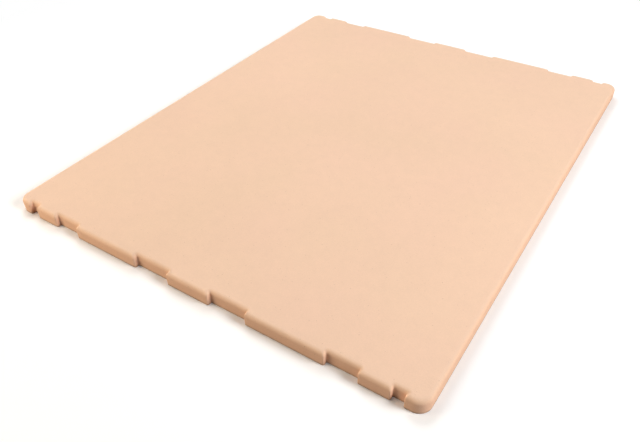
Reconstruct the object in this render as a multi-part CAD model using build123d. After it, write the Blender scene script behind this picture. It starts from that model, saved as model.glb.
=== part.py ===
from build123d import *
import os

# A pizza stone: one flat slab of fired clay, made in the size of an oven tray.
# X runs along the two notched edges, Y runs from one notched edge to the other and
# Z points up from the resting face.  The origin is the middle of the resting face.
# All sizes are millimetres.

# The slab
stone_width = 375.0  # between the two plain sides
stone_depth = 456.0  # between the two notched edges
stone_thickness = 12.0
corner_radius = 9.5  # the four upright corners
baking_edge_radius = 3.5  # the soft shoulder all round the baking face
resting_edge_bevel = 0.5  # the hard edge of the resting face is only just broken

# The notches go through the slab's full thickness.  Their sides are upright and stand
# square to the edge, and their corners are crisp.
notch_depth = 3.5

# One half of a notched edge, from its middle outwards.  The long tab between the two
# pairs of notches takes what the width leaves.
middle_tab_length = 39.2  # both halves together
inner_notch_length = 32.3
outer_notch_length = 24.4
short_tab_length = 23.3
corner_notch_length = 8.8
corner_tab_length = 5.4  # up to where the slab's corner starts to turn

half_width = stone_width / 2
half_depth = stone_depth / 2
inner_notch_start = middle_tab_length / 2
corner_notch_start = half_width - corner_radius - corner_tab_length - corner_notch_length
outer_notch_start = corner_notch_start - short_tab_length - outer_notch_length
notches = [
    (inner_notch_start, inner_notch_length),
    (outer_notch_start, outer_notch_length),
    (corner_notch_start, corner_notch_length),
]


def notch(start, length):
    # From one tab's corner straight in, along the notch's floor and straight out again.
    floor_y = notch_depth - half_depth
    return [
        (start, -half_depth),
        (start, floor_y),
        (start + length, floor_y),
        (start + length, -half_depth),
    ]


def quarter_outline():
    # From the middle of the front edge, past its notches and round the corner, to
    # the middle of the plain side.
    stops = [(0, -half_depth)]
    for notch_start, notch_length in notches:
        stops += notch(notch_start, notch_length)
    stops.append((half_width - corner_radius, -half_depth))
    Polyline(*stops)
    corner = JernArc(stops[-1], (1, 0), corner_radius, 90)
    Line(corner @ 1, (half_width, 0))


def stone_slab():
    # The shoulder runs over the tabs' corners and through the notches' roots without a
    # break: where two of its runs meet they end in one mitre line.
    with BuildPart() as slab:
        with BuildSketch():
            with BuildLine():
                quarter_outline()
                mirror(about=Plane.YZ)
                mirror(about=Plane.XZ)
            make_face()
        extrude(amount=stone_thickness)
        fillet(slab.faces().sort_by(Axis.Z)[-1].edges(), baking_edge_radius)
        chamfer(slab.faces().sort_by(Axis.Z)[0].edges(), resting_edge_bevel)
    return slab.part


os.makedirs("parts", exist_ok=True)
stone = stone_slab()
export_step(stone, "parts/stone_slab.step")

long_tab_length = outer_notch_start - inner_notch_start - inner_notch_length
print(f"long tab: {long_tab_length:.1f} mm, narrowest notch: {corner_notch_length:.1f} mm")
print(f"stone: {stone.volume / 1000:.0f} cubic centimetres")
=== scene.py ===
import math

import bpy
from mathutils import Matrix, Vector
from mathutils.geometry import tessellate_polygon


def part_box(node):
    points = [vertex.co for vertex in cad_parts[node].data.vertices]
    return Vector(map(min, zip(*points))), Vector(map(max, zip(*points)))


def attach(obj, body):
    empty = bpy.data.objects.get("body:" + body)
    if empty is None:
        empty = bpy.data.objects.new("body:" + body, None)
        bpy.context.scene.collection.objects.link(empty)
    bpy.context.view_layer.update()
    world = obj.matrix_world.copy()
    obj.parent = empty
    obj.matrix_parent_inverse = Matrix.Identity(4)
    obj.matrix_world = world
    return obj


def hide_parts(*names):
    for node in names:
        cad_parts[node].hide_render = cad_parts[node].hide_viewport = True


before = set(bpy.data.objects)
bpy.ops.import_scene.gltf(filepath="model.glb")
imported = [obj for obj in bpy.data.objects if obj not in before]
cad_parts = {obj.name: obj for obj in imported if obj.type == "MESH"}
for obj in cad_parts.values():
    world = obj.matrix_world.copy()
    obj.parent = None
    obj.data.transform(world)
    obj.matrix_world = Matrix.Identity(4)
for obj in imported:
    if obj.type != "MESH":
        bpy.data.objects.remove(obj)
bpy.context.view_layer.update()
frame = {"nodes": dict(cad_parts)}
print("frame loaded, nodes:", ", ".join(frame["nodes"]))

mm = 0.001


class Wire:
    # a socket that adds, multiplies and compares like a plain number
    def __init__(self, bench, socket):
        self.bench, self.socket = bench, socket

    def out(self, name):
        return Wire(self.bench, self.socket.node.outputs[name])

    def calc(self, operation, *others):
        inputs = {0: self, **dict(enumerate(others, 1))}
        return self.bench.add("ShaderNodeMath", {"operation": operation}, inputs)

    def __add__(self, other):
        return self.calc("ADD", other)

    def __mul__(self, other):
        return self.calc("MULTIPLY", other)

    def __sub__(self, other):
        return self.calc("SUBTRACT", other)

    def __truediv__(self, other):
        return self.calc("DIVIDE", other)

    def __rsub__(self, other):
        return self.bench.add("ShaderNodeMath", {"operation": "SUBTRACT"}, {0: other, 1: self})

    def __rtruediv__(self, other):
        return self.bench.add("ShaderNodeMath", {"operation": "DIVIDE"}, {0: other, 1: self})

    def __neg__(self):
        return 0 - self

    def __abs__(self):
        return self.calc("ABSOLUTE")

    def __gt__(self, other):
        return self.calc("GREATER_THAN", other)

    def __lt__(self, other):
        return self.calc("LESS_THAN", other)

    __radd__ = __add__
    __rmul__ = __mul__

    def least(self, other):
        return self.calc("MINIMUM", other)

    def most(self, other):
        return self.calc("MAXIMUM", other)

    def modulo(self, other):
        return self.calc("MODULO", other)

    def between(self, low, high):
        return self.most(low).least(high)

    def fade(self, start, end):
        # 0 before start, 1 after end, smooth in between; start may be the larger
        inputs = {"Value": self, "From Min": start, "From Max": end}
        return self.bench.add("ShaderNodeMapRange", {"interpolation_type": "SMOOTHSTEP"}, inputs)


class Bench:
    # lays nodes in one tree
    def __init__(self, tree):
        self.tree = tree

    def add(self, kind, settings=None, inputs=None, output=0):
        node = self.tree.nodes.new(kind)
        for name, value in (settings or {}).items():
            if name == "stops":
                self.setStops(node.color_ramp, value)
            else:
                setattr(node, name, value)
        for name, value in (inputs or {}).items():
            for one in value if isinstance(value, list) else [value]:
                if isinstance(one, Wire):
                    self.tree.links.new(one.socket, node.inputs[name])
                else:
                    node.inputs[name].default_value = one
        return Wire(self, node.outputs[output]) if node.outputs else node

    def setStops(self, ramp, stops):
        while len(ramp.elements) > 1:
            ramp.elements.remove(ramp.elements[-1])
        ramp.elements[0].position, ramp.elements[0].color = stops[0]
        for place, colour in stops[1:]:
            ramp.elements.new(place).color = colour


stone = {
    "node": "stone_slab",
    "cornerRadius": 9.5 * mm,
    "shoulderRadius": 3.5 * mm,
    "footRadius": 0.5 * mm,
    "notchDepth": 3.5 * mm,
    # lengths from the middle of a notched edge outwards
    "middleTab": 39.2 * mm,
    "innerNotch": 32.3 * mm,
    "outerNotch": 24.4 * mm,
    "shortTab": 23.3 * mm,
    "cornerNotch": 8.8 * mm,
    "cornerTab": 5.4 * mm,
    # how soft the upright edges are
    "tabCornerRadius": 1.2 * mm,
    "notchRootRadius": 0.6 * mm,
    "notchEndReach": 5.7 * mm,  # along the edge, what the softest level of a notch's end takes up
    # shares of that reach at which the root, the flank and the tab's corner stop
    "rootStop": 0.4,
    "flankStop": 0.5,
    "tabCornerStop": 0.8,
    # the outline's points: every one beside a notch's end, fewer round a corner and on a straight
    "step": 0.2 * mm,
    "notchMargin": 0.3 * mm,
    "cornerSteps": 32,
    "cornerEvery": 3,
    "straightEvery": 30,
    # the section's points
    "footSteps": 6,
    "shoulderSteps": 15,
    "restingRim": 1.0 * mm,  # narrow rims that lead from the rounds to the two flat faces
    "bakingRim": 0.3 * mm,
    "wallRim": 0.4 * mm,
    "samePlace": 0.001 * mm,  # points closer than this are one
}


def notchPlaces(s, width):
    # middle and floor of each notch in one half of a notched edge
    inner = s["middleTab"] / 2 + s["innerNotch"] / 2
    corner = width / 2 - s["cornerRadius"] - s["cornerTab"] - s["cornerNotch"] / 2
    outer = corner - s["cornerNotch"] / 2 - s["shortTab"] - s["outerNotch"] / 2
    roots = 2 * s["notchRootRadius"]
    return {
        "Inner": (inner, s["innerNotch"] - roots),
        "Outer": (outer, s["outerNotch"] - roots),
        "Corner": (corner, s["cornerNotch"] - roots),
    }


def slabTree(s, notchNames):
    tree = bpy.data.node_groups.new("notchedSlab", "GeometryNodeTree")
    tree.interface.new_socket("Geometry", in_out="OUTPUT", socket_type="NodeSocketGeometry")
    sizes = ["Width", "Depth", "Thickness", "Corner Radius", "Shoulder Radius", "Foot Radius",
             "Notch Depth", "Tab Corner Radius", "Notch Root Radius", "Notch End Reach", "Step"]
    for name in sizes + [f"{n} Notch {what}" for n in notchNames for what in ("Middle", "Floor")]:
        tree.interface.new_socket(name, in_out="INPUT", socket_type="NodeSocketFloat")
    for name in ("Corner Every", "Straight Every"):
        tree.interface.new_socket(name, in_out="INPUT", socket_type="NodeSocketInt")
    tree.interface.new_socket("Material", in_out="INPUT", socket_type="NodeSocketMaterial")
    bench = Bench(tree)
    given = bench.add("NodeGroupInput")
    width, depth, thickness, cornerRadius, shoulder, foot = (given.out(n) for n in sizes[:6])
    notchDepth, tabCorner, root, reach, step = (given.out(n) for n in sizes[6:])

    def at(x, y, z=0.0):
        return bench.add("ShaderNodeCombineXYZ", None, {"X": x, "Y": y, "Z": z})

    # where a point lies along and across the notched edges
    place = bench.add("GeometryNodeInputPosition")
    xyz = bench.add("ShaderNodeSeparateXYZ", None, {"Vector": place})
    along, across, height = abs(xyz.out("X")), abs(xyz.out("Y")), xyz.out("Z")
    inCorner = (along > width / 2 - cornerRadius) * (across > depth / 2 - cornerRadius)
    onNotchedEdge = (along < width / 2 - cornerRadius) * (across > depth / 2 - cornerRadius)

    # a rounded rectangle, whose points stay close together only where something bends
    line = bench.add("GeometryNodeCurvePrimitiveQuadrilateral", None, {"Width": width, "Height": depth})
    rounding = {"Curve": line, "Radius": cornerRadius, "Count": s["cornerSteps"]}
    line = bench.add("GeometryNodeFilletCurve", {"mode": "POLY"}, rounding)
    line = bench.add("GeometryNodeResampleCurve", {"mode": "LENGTH"}, {"Curve": line, "Length": step})
    fromFloor = {}
    nearNotchEnd = 0
    for name in notchNames:
        middle, floor = given.out(f"{name} Notch Middle"), given.out(f"{name} Notch Floor")
        fromFloor[name] = abs(along - middle) - floor / 2
        pastFloor = fromFloor[name] > -s["notchMargin"]
        nearNotchEnd = pastFloor * (fromFloor[name] < reach + s["notchMargin"]) + nearNotchEnd
    index = bench.add("GeometryNodeInputIndex")
    cornerPoint = inCorner * (index.modulo(given.out("Corner Every")) < 0.5)
    straightPoint = (1 - inCorner) * (index.modulo(given.out("Straight Every")) < 0.5)
    kept = nearNotchEnd * onNotchedEdge + cornerPoint + straightPoint
    line = bench.add("GeometryNodeDeleteGeometry", None, {"Geometry": line, "Selection": kept < 0.5})
    line = bench.add("GeometryNodeSetCurveNormal", {"mode": "Z_UP"}, {"Curve": line})

    # the wall's section from the foot up: x is how far out, y how high
    def arc(radius, start, steps, centre):
        inputs = {"Resolution": steps, "Radius": radius, "Start Angle": start, "Sweep Angle": math.pi / 2}
        curve = bench.add("GeometryNodeCurveArc", None, inputs)
        return bench.add("GeometryNodeTransform", None, {"Geometry": curve, "Translation": centre})

    def straight(start, end):
        return bench.add("GeometryNodeCurvePrimitiveLine", None, {"Start": start, "End": end})

    def merged(shape):
        inputs = {"Geometry": shape, "Distance": s["samePlace"]}
        return bench.add("GeometryNodeMergeByDistance", None, inputs)

    wallTop = thickness - shoulder
    lowRim, highRim = foot + s["wallRim"], wallTop - s["wallRim"]
    profile = bench.add("GeometryNodeJoinGeometry", None, {"Geometry": [
        straight(at(-foot - s["restingRim"], 0.0), at(-foot, 0.0)),
        arc(foot, -math.pi / 2, s["footSteps"], at(-foot, foot)),
        straight(at(0.0, foot), at(0.0, lowRim)),
        straight(at(0.0, lowRim), at(0.0, highRim)),
        straight(at(0.0, highRim), at(0.0, wallTop)),
        arc(shoulder, 0.0, s["shoulderSteps"], at(-shoulder, wallTop)),
        straight(at(-shoulder, thickness), at(-shoulder - s["bakingRim"], thickness)),
    ]})
    # the section would hang upside down from the line otherwise
    profile = bench.add("GeometryNodeTransform", None, {"Geometry": profile, "Scale": (1, -1, 1)})
    belt = bench.add("GeometryNodeCurveToMesh", None, {"Curve": line, "Profile Curve": profile})
    belt = bench.add("GeometryNodeFlipFaces", None, {"Mesh": merged(belt)})

    # A notch's end, on every level of the section: its root's arc grows with the level's
    # inset, so the shoulder keeps its width right through the notch.  From the floor's
    # end outwards it is root, flank, tab corner and then the tab's face.
    inset = depth / 2 - across
    rootArc = root + inset
    turn = (1 - notchDepth / (rootArc + tabCorner)).most(0.0).calc("ARCCOSINE")
    run = (rootArc + tabCorner) * turn.calc("SINE")
    flank = (notchDepth - rootArc - tabCorner).most(0.0)
    rootStop, flankStop, tabCornerStop = s["rootStop"], s["flankStop"], s["tabCornerStop"]
    moved, inward = 0, 0
    for name in notchNames:
        share = fromFloor[name] / reach
        rootTurn = turn * (share / rootStop).between(0, 1)
        upFlank = ((share - rootStop) / (flankStop - rootStop)).between(0, 1)
        tabTurn = turn * ((tabCornerStop - share) / (tabCornerStop - flankStop)).between(0, 1)
        onTab = ((share - tabCornerStop) / (1 - tabCornerStop)).between(0, 1)
        outward = rootArc * rootTurn.calc("SINE") + tabCorner * (turn.calc("SINE") - tabTurn.calc("SINE"))
        outward = outward + (reach - run) * onTab
        rise = rootArc * (1 - rootTurn.calc("COSINE")) + flank * upFlank
        rise = rise + tabCorner * (tabTurn.calc("COSINE") - turn.calc("COSINE"))
        side = (along - given.out(f"{name} Notch Middle")).calc("SIGN")
        inEnd = (share > 0) * (share < 1)
        moved = inEnd * side * (outward - fromFloor[name]) + moved
        inward = (share < 1) * (notchDepth - rise) + inward
    moved = onNotchedEdge * moved * xyz.out("X").calc("SIGN")
    inward = -onNotchedEdge * inward * xyz.out("Y").calc("SIGN")
    belt = bench.add("GeometryNodeSetPosition", None, {"Geometry": belt, "Offset": at(moved, inward)})
    belt = merged(belt)

    # the baking face and the resting face close the belt
    faceCount = bench.add("GeometryNodeInputMeshEdgeNeighbors")

    def lid(above):
        isRim = (faceCount < 1.5) * above
        rim = bench.add("GeometryNodeMeshToCurve", None, {"Mesh": belt, "Selection": isRim})
        return bench.add("GeometryNodeFillCurve", {"mode": "NGONS"}, {"Curve": rim})

    lifted = {"Geometry": lid(height > thickness / 2), "Translation": at(0.0, 0.0, thickness)}
    bakingFace = bench.add("GeometryNodeTransform", None, lifted)
    restingFace = bench.add("GeometryNodeFlipFaces", None, {"Mesh": lid(height < thickness / 2)})
    slab = bench.add("GeometryNodeJoinGeometry", None, {"Geometry": [belt, bakingFace, restingFace]})
    slab = bench.add("GeometryNodeSetShadeSmooth", None, {"Geometry": merged(slab)})
    slab = bench.add("GeometryNodeRealizeInstances", None, {"Geometry": slab})
    slab = bench.add("GeometryNodeSetMaterial", None, {"Geometry": slab, "Material": given.out("Material")})
    bench.add("NodeGroupOutput", None, {"Geometry": slab})
    return tree


def makeStone(s, material):
    low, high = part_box(s["node"])
    size = Vector(high) - Vector(low)
    places = notchPlaces(s, size.x)
    tree = slabTree(s, list(places))
    seed = bpy.data.objects.new("slabSeed", bpy.data.meshes.new("slabSeed"))
    bpy.context.collection.objects.link(seed)
    modifier = seed.modifiers.new("slab", "NODES")
    modifier.node_group = tree
    values = {
        "Width": size.x,
        "Depth": size.y,
        "Thickness": size.z,
        "Corner Radius": s["cornerRadius"],
        "Shoulder Radius": s["shoulderRadius"],
        "Foot Radius": s["footRadius"],
        "Notch Depth": s["notchDepth"],
        "Tab Corner Radius": s["tabCornerRadius"],
        "Notch Root Radius": s["notchRootRadius"],
        "Notch End Reach": s["notchEndReach"],
        "Step": s["step"],
        "Corner Every": s["cornerEvery"],
        "Straight Every": s["straightEvery"],
        "Material": material,
    }
    for name, (middle, floor) in places.items():
        values[f"{name} Notch Middle"] = middle
        values[f"{name} Notch Floor"] = floor
    for item in tree.interface.items_tree:
        if item.in_out == "INPUT":
            modifier[item.identifier] = values[item.name]
    shaped = seed.evaluated_get(bpy.context.evaluated_depsgraph_get())
    mesh = bpy.data.meshes.new_from_object(shaped)
    bpy.data.objects.remove(seed)
    mesh.materials.clear()  # the tree leaves an empty slot before the material's own
    mesh.materials.append(material)
    for face in mesh.polygons:
        face.material_index = 0
    piece = bpy.data.objects.new("stoneSlab", mesh)
    bpy.context.collection.objects.link(piece)
    return piece


clay = {
    "face": (0.800, 0.555, 0.405, 1),
    "rosy": (0.806, 0.548, 0.410, 1),  # where the firing left it pinker
    "sandy": (0.790, 0.562, 0.398, 1),
    "shadedWall": (0.850, 0.520, 0.350, 1),  # painted warm shade: a deeper, warmer copy of the face's colour for the walls, standing in for their shade
    # painted light: a lighter copy of the face's colour for the rounded shoulder
    "shoulder": (0.880, 0.578, 0.395, 1),
    "scuffed": (0.880, 0.610, 0.440, 1),
    "underside": (0.735, 0.495, 0.350, 1),
    "paleGrog": (0.90, 0.74, 0.60, 1),
    "brownGrog": (0.42, 0.24, 0.15, 1),
    # painted shade: the dark colour inside the pores
    "shadedPore": (0.33, 0.19, 0.12, 1),
    "cloudSize": 130 * mm,
    "mottleSize": 8 * mm,
    "grainSize": 0.9 * mm,
    "grogCell": 2.3 * mm,
    "grogShare": 0.5,  # of the cells that hold one
    "grogRadius": (0.12 * mm, 0.42 * mm),
    "poreCell": 5.0 * mm,
    "poreShare": 0.3,
    "poreRadius": (0.12 * mm, 0.36 * mm),
    # heights over the resting face, where each zone starts to show and where it is full
    "thickness": 12 * mm,
    "undersideZone": (0.1 * mm, 0.02 * mm),
    # painted shade: the band at the foot that is darkened to stand in for the contact shadow
    "lowerEdgeShadeZone": (2.4 * mm, 0.5 * mm),
    "shoulderFoot": (9.6 * mm, 10.8 * mm),
    "shoulderTop": (11.9 * mm, 11.2 * mm),
    "faceZone": (11.7 * mm, 11.98 * mm),
    "wallStop": 0.70,  # shares of the thickness at which the wall's and the shoulder's colours are full
    "shoulderStop": 0.89,
}


def firedClay(c):
    material = bpy.data.materials.new("firedClay")
    material.use_nodes = True
    material.node_tree.nodes.clear()
    bench = Bench(material.node_tree)
    spot = bench.add("ShaderNodeTexCoord").out("Object")
    height = bench.add("ShaderNodeSeparateXYZ", None, {"Vector": spot}).out("Z")

    def noise(size, detail=2.0, roughness=0.5):
        # about -1 to 1
        inputs = {"Vector": spot, "Scale": 1 / size, "Detail": detail, "Roughness": roughness}
        return (bench.add("ShaderNodeTexNoise", None, inputs) - 0.5) * 2

    def grains(size, share, radii):
        # 1 inside a grain; only some cells hold one, each with its own radius and draw
        smallest, largest = radii
        cell = bench.add("ShaderNodeTexVoronoi", None, {"Vector": spot, "Scale": 1 / size})
        draw = bench.add("ShaderNodeSeparateXYZ", None, {"Vector": cell.out("Color")})
        radius = smallest + draw.out("Y") * draw.out("Y") * (largest - smallest)
        inside = (cell.out("Distance") * size).fade(radius, radius * 0.5)
        return inside * (draw.out("X") < share), draw.out("Z")

    def blend(share, first, second, how="MIX"):
        settings = {"data_type": "RGBA", "blend_type": how}
        return bench.add("ShaderNodeMix", settings, {0: share, 6: first, 7: second}, 2)

    cloud = noise(c["cloudSize"])
    drift = noise(c["cloudSize"] * 0.6, 1.0)
    mottle = noise(c["mottleSize"], 3.0, 0.6)
    grain = noise(c["grainSize"], 2.0, 0.65)
    grog, grogDraw = grains(c["grogCell"], c["grogShare"], c["grogRadius"])
    shadedPore, _ = grains(c["poreCell"], c["poreShare"], c["poreRadius"])

    # upwards: the underside, the lower edge, the wall, the shoulder and the baking face
    onUnderside = height.fade(*c["undersideZone"])
    # painted contact shadow: the lowest few millimetres of the wall are darkened
    lowerEdgeShade = height.fade(*c["lowerEdgeShadeZone"]) * (1 - onUnderside)
    shoulder = height.fade(*c["shoulderFoot"]) * height.fade(*c["shoulderTop"])
    onFace = height.fade(*c["faceZone"])

    # colour by height: the walls' painted warm shade, the shoulder's painted light, then the face's own
    # colour
    rising = bench.add("ShaderNodeValToRGB", {"stops": [
        (c["wallStop"], c["shadedWall"]), (c["shoulderStop"], c["shoulder"]), (1.0, c["face"]),
    ]}, {"Fac": height / c["thickness"]})
    tinge = blend(drift.between(-0.5, 0.5) + 0.5, c["sandy"], c["rosy"])
    colour = blend(onFace * 0.5, rising, tinge)
    colour = blend(onUnderside, colour, c["underside"])
    worn = shoulder * 0.7 * (mottle * 1.6 + grain * 0.8).fade(0.25, 0.9)
    colour = blend(worn * 0.45, colour, c["scuffed"])
    grainDepth = 0.06 + onUnderside * 0.03  # the underside is the rougher face
    # the lower edge's term is painted contact shade; the other terms are the clay's own uneven tone
    shade = 1 + cloud * 0.04 + mottle * 0.035 + grain * grainDepth - lowerEdgeShade * 0.3
    shades = bench.add("ShaderNodeCombineXYZ", None, {0: shade, 1: shade, 2: shade})
    colour = blend(1.0, colour, shades, "MULTIPLY")
    colour = blend(grog * 0.55, colour, blend(grogDraw > 0.45, c["brownGrog"], c["paleGrog"]))
    # the pores are real dents in the relief, painted dark for the shade inside them
    colour = blend(shadedPore * 0.8, colour, c["shadedPore"])

    roughness = 0.88 + cloud * 0.02 + mottle * 0.04 - worn * 0.12 - grog * 0.15 + shadedPore * 0.1
    relief = mottle * 0.05 + grain * grainDepth + grog * (grogDraw - 0.4) * 0.05 - shadedPore * 0.16 - worn * 0.02
    bump = bench.add("ShaderNodeBump", None, {"Strength": 1.0, "Distance": 1 * mm, "Height": relief})
    shader = bench.add("ShaderNodeBsdfPrincipled", None, {
        "Base Color": colour,
        "Roughness": roughness.between(0.6, 1.0),
        "Specular IOR Level": 0.3,
        "Normal": bump,
    })
    bench.add("ShaderNodeOutputMaterial", None, {"Surface": shader})
    return material


slab = makeStone(stone, firedClay(clay))
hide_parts(stone["node"])
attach(slab, "root")
print("stone made:", len(slab.data.vertices), "points,", len(slab.data.polygons), "faces")

floor = {
    "half": 12.0,
    "tucked": 0.6 * mm,  # how far it reaches under the stone's edge
    "bounce": 0.45,  # its white for the light it throws back on the stone
    "seen": 0.92,  # its white for the camera
    "glow": 0.095,  # lifts the shadow
    "plainFrom": 0.32,  # distances from the stone's middle
    "plainAt": 0.56,
}


def footprint(s, size, inset):
    # the stone's outline drawn in by the inset, clockwise from the middle of its back edge
    edge = size.y / 2 - inset
    notchFloor = edge - s["notchDepth"]
    quarter = [(0.0, edge)]
    for middle, straight in notchPlaces(s, size.x).values():
        reach = straight / 2 + s["notchRootRadius"] + inset
        start, end = middle - reach, middle + reach
        quarter += [(start, edge), (start, notchFloor), (end, notchFloor), (end, edge)]
    radius = s["cornerRadius"] - inset
    for degrees in range(0, 91, 15):
        a = math.radians(degrees)
        across = size.x / 2 - s["cornerRadius"] + radius * math.sin(a)
        quarter.append((across, size.y / 2 - s["cornerRadius"] + radius * math.cos(a)))
    right = quarter + [(x, -y) for x, y in reversed(quarter)]
    return [Vector((x, y, 0)) for x, y in right + [(-x, y) for x, y in reversed(right[1:-1])]]


def seenRays(bench):
    # 1 for rays that show a thing to the camera, 0 for those that carry light
    path = bench.add("ShaderNodeLightPath")
    return path.out("Is Camera Ray").most(path.out("Is Glossy Ray")).most(path.out("Is Transmission Ray"))


def whiteSweep(f):
    material = bpy.data.materials.new("whiteSweep")
    material.use_nodes = True
    material.node_tree.nodes.clear()
    bench = Bench(material.node_tree)
    seen = seenRays(bench)
    white = f["bounce"] + seen * (f["seen"] - f["bounce"])
    whites = bench.add("ShaderNodeCombineXYZ", None, {0: white, 1: white, 2: white})
    paint = bench.add("ShaderNodeBsdfDiffuse", None, {"Color": whites})
    glow = bench.add("ShaderNodeEmission", None, {"Strength": seen * f["glow"]})
    lit = bench.add("ShaderNodeAddShader", None, {0: paint, 1: glow})
    # past the stone's shadow the floor runs out into the white background
    spot = bench.add("ShaderNodeTexCoord").out("Object")
    fromStone = bench.add("ShaderNodeVectorMath", {"operation": "LENGTH"}, {0: spot}, "Value")
    plain = bench.add("ShaderNodeEmission", None, {"Strength": 1.0})
    farOut = seen * fromStone.fade(f["plainFrom"], f["plainAt"])
    lit = bench.add("ShaderNodeMixShader", None, {"Fac": farOut, 1: lit, 2: plain})
    # from below it is clear
    below = bench.add("ShaderNodeNewGeometry").out("Backfacing")
    clear = bench.add("ShaderNodeBsdfTransparent")
    both = bench.add("ShaderNodeMixShader", None, {"Fac": below, 1: lit, 2: clear})
    bench.add("ShaderNodeOutputMaterial", None, {"Surface": both})
    return material


def makeFloor(f, s):
    # open under the stone, so that its underside can be seen and lit from below
    low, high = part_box(s["node"])
    h = f["half"]
    rings = [[Vector((x, y, 0)) for x, y in ((-h, -h), (h, -h), (h, h), (-h, h))]]
    rings.append(footprint(s, Vector(high) - Vector(low), f["tucked"]))
    corners = rings[0] + rings[1]
    faces = []
    for one, two, three in tessellate_polygon(rings):
        upwards = (corners[two] - corners[one]).cross(corners[three] - corners[one]).z > 0
        faces.append((one, two, three) if upwards else (one, three, two))
    mesh = bpy.data.meshes.new("floor")
    mesh.from_pydata(corners, [], faces)
    mesh.materials.append(whiteSweep(f))
    ground = bpy.data.objects.new("floor", mesh)
    bpy.context.collection.objects.link(ground)


def makeWorld():
    # white to look at, but it lights nothing
    world = bpy.data.worlds.new("studio")
    world.use_nodes = True
    world.node_tree.nodes.clear()
    bench = Bench(world.node_tree)
    sky = bench.add("ShaderNodeBackground", None, {"Color": (1, 1, 1, 1), "Strength": seenRays(bench)})
    bench.add("ShaderNodeOutputWorld", None, {"Surface": sky})
    bpy.context.scene.world = world


lampTint = {"plain": (1, 1, 1), "warm": (1.0, 0.85, 0.64)}
# azimuth 0 is the front, 90 the right; rise is the height in degrees, away and size are metres
lamps = {
    "right": {"azimuth": 90, "rise": 33, "away": 1.4, "size": 0.5, "power": 16.3, "tint": "plain"},
    "back": {"azimuth": 180, "rise": 50, "away": 1.5, "size": 0.9, "power": 0.6, "tint": "plain"},
    "backLeft": {"azimuth": 225, "rise": 50, "away": 1.5, "size": 0.9, "power": 13.4, "tint": "plain"},
    "left": {"azimuth": 285, "rise": 50, "away": 1.5, "size": 0.9, "power": 3.3, "tint": "plain"},
    "leftFront": {"azimuth": 315, "rise": 18, "away": 1.4, "size": 0.7, "power": 8.4, "tint": "warm"},
    "leftNear": {"azimuth": 320, "rise": 14, "away": 0.75, "size": 0.35, "power": 0.7, "tint": "warm"},
    # the floor keeps this one from all but the underside
    "below": {"azimuth": 0, "rise": -80, "away": 1.4, "size": 1.2, "power": 22, "tint": "plain"},
}


def towards(azimuth, rise):
    a, r = math.radians(azimuth), math.radians(rise)
    return Vector((math.sin(a) * math.cos(r), -math.cos(a) * math.cos(r), math.sin(r)))


def makeLamps(every):
    for name, one in every.items():
        light = bpy.data.lights.new(name, "AREA")
        light.energy, light.size, light.color = one["power"], one["size"], lampTint[one["tint"]]
        lamp = bpy.data.objects.new(name, light)
        toLamp = towards(one["azimuth"], one["rise"])
        lamp.location = toLamp * one["away"]
        lamp.rotation_euler = (-toLamp).to_track_quat("-Z", "Y").to_euler()
        bpy.context.collection.objects.link(lamp)


photoCamera = {
    "azimuth": 33.782,
    "elevation": 40.135,
    "roll": -1.241,
    "lens": 34.958,
    "at": (0.25110, -0.43036, 0.32639),
}


def makeCamera(c):
    back = towards(c["azimuth"], c["elevation"])
    level = back.cross(Vector((0, 0, -1))).normalized()
    upright = back.cross(level)
    roll = math.radians(c["roll"])
    right = level * math.cos(roll) + upright * math.sin(roll)
    up = upright * math.cos(roll) - level * math.sin(roll)
    data = bpy.data.cameras.new("photoCamera")
    data.lens = c["lens"]
    data.sensor_width = 36.0
    camera = bpy.data.objects.new("photoCamera", data)
    camera.matrix_world = Matrix.Translation(c["at"]) @ Matrix((right, up, back)).transposed().to_4x4()
    bpy.context.collection.objects.link(camera)
    bpy.context.scene.camera = camera


makeFloor(floor, stone)
makeWorld()
print("floor and white background made")
makeLamps(lamps)
print("lamps hung:", ", ".join(lamps))
makeCamera(photoCamera)
bpy.context.scene.view_settings.view_transform = "Standard"
print("camera placed at the photo's angle")
